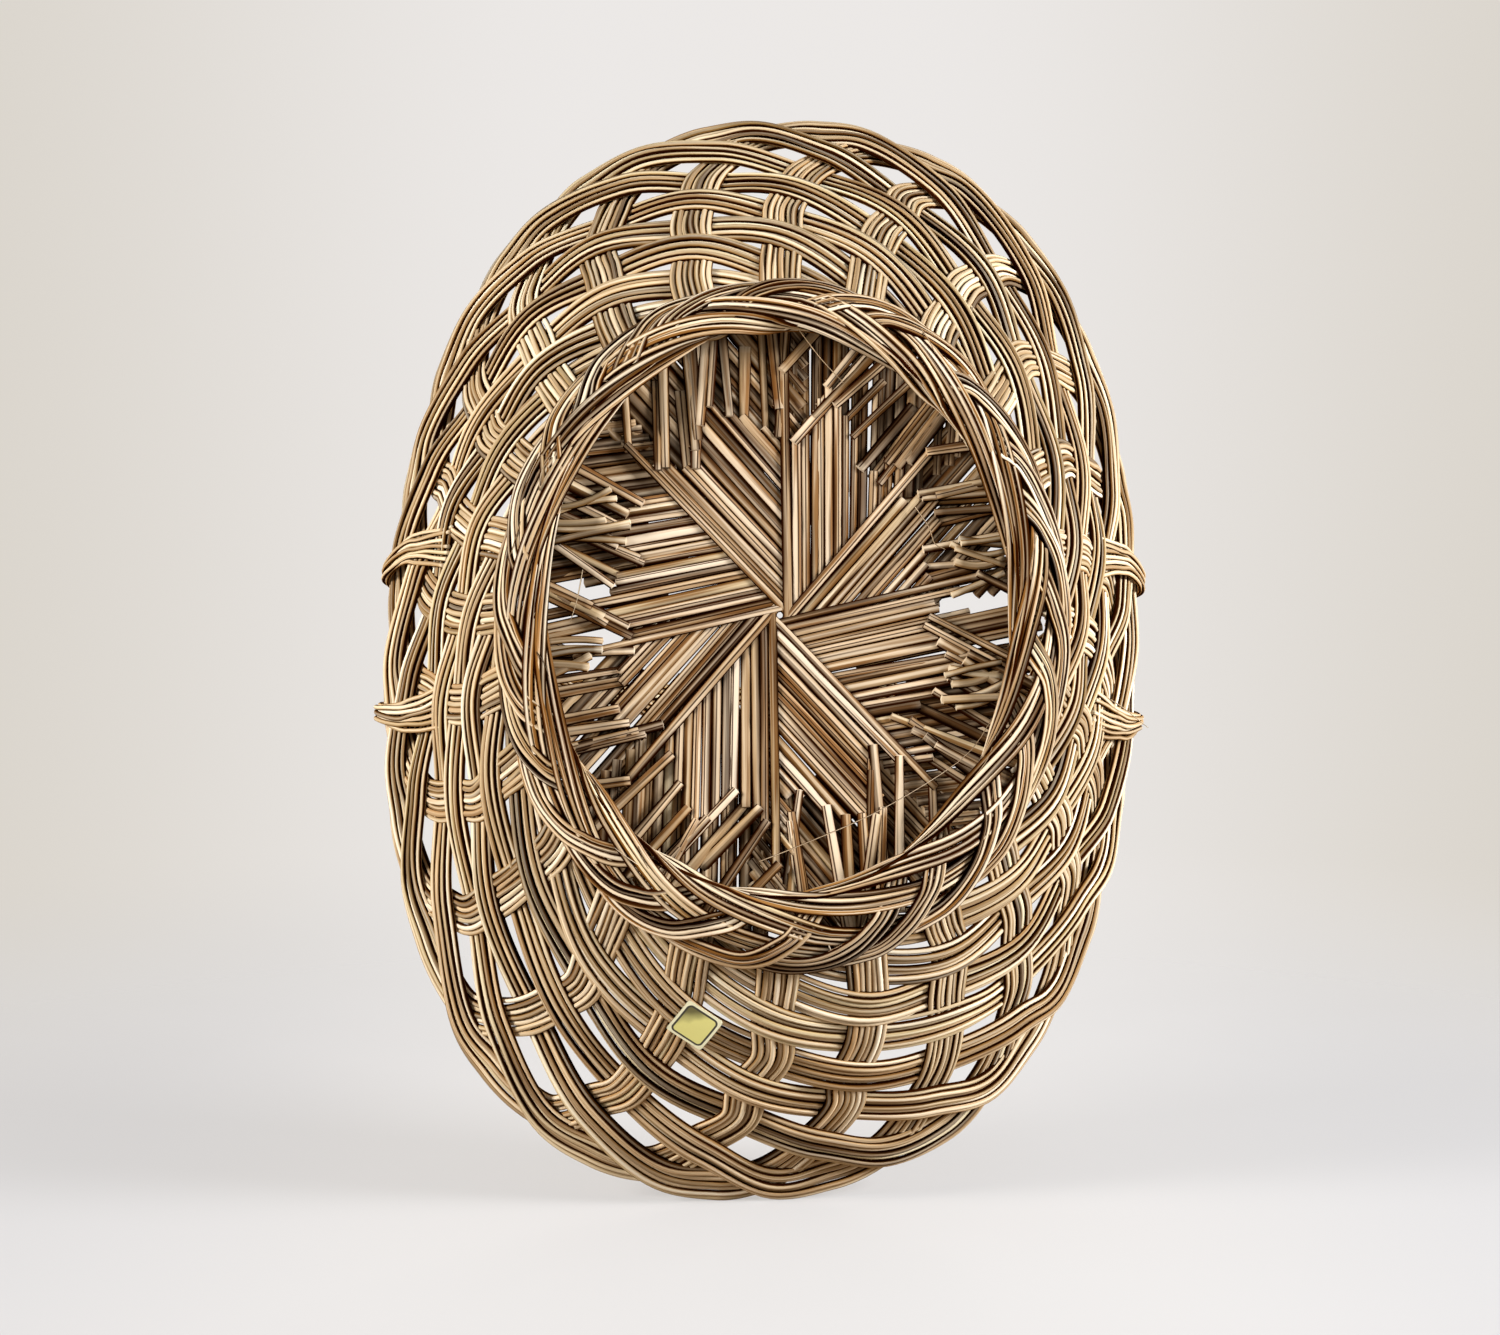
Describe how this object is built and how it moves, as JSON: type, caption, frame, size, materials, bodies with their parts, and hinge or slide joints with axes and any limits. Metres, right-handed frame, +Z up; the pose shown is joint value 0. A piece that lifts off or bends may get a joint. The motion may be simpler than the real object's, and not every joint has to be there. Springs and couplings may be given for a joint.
{
  "type": "oval handled basket",
  "caption": "Shallow oval open-weave basket of bundled palm ribs on a braided foot, with a twisted bail handle over its short side, for bread, fruit or flowers.",
  "frame": {"origin": "on the table under the middle of the foot", "axes": "+X along the oval's long axis, +Y across it in line with the handle's hoop, +Z up"},
  "size_m": [0.4238, 0.3024, 0.2697],
  "materials": {
    "wall_ribs": "dry satin palm ribs, straw to brown",
    "base_ribs": "dry satin palm ribs, thicker and browner",
    "foot_ribs": "dry satin palm ribs",
    "handle_ribs": "dry satin palm ribs",
    "foil_label": "thin gold foil, blank"
  },
  "bodies": {
    "root": {"rib_bundle_01": "wall_ribs", "rib_bundle_02": "wall_ribs", "rib_bundle_03": "wall_ribs", "rib_bundle_04": "wall_ribs", "rib_bundle_05": "wall_ribs", "rib_bundle_06": "wall_ribs", "rib_bundle_07": "wall_ribs", "rib_bundle_08": "wall_ribs", "rib_bundle_09": "wall_ribs", "rib_bundle_10": "wall_ribs", "rib_bundle_11": "wall_ribs", "rib_bundle_12": "wall_ribs", "rib_bundle_13": "wall_ribs", "rib_bundle_14": "wall_ribs", "rib_bundle_15": "wall_ribs", "rib_bundle_16": "wall_ribs", "rib_bundle_17": "wall_ribs", "rib_bundle_18": "wall_ribs", "rib_bundle_19": "wall_ribs", "rib_bundle_20": "wall_ribs", "rib_bundle_21": "wall_ribs", "rib_bundle_22": "wall_ribs", "rib_bundle_23": "wall_ribs", "rib_bundle_24": "wall_ribs", "base_fan_1": "base_ribs", "base_fan_2": "base_ribs", "base_fan_3": "base_ribs", "base_fan_4": "base_ribs", "base_fan_5": "base_ribs", "base_fan_6": "base_ribs", "base_fan_7": "base_ribs", "base_fan_8": "base_ribs", "foot_edge_roll": "foot_ribs", "foot_braid": "foot_ribs", "handle_bundle_1": "handle_ribs", "handle_bundle_2": "handle_ribs", "handle_lashing_1": "handle_ribs", "handle_lashing_2": "handle_ribs", "handle_lashing_3": "handle_ribs", "handle_lashing_4": "handle_ribs", "foil_label": "foil_label"}
  },
  "joints": []
}
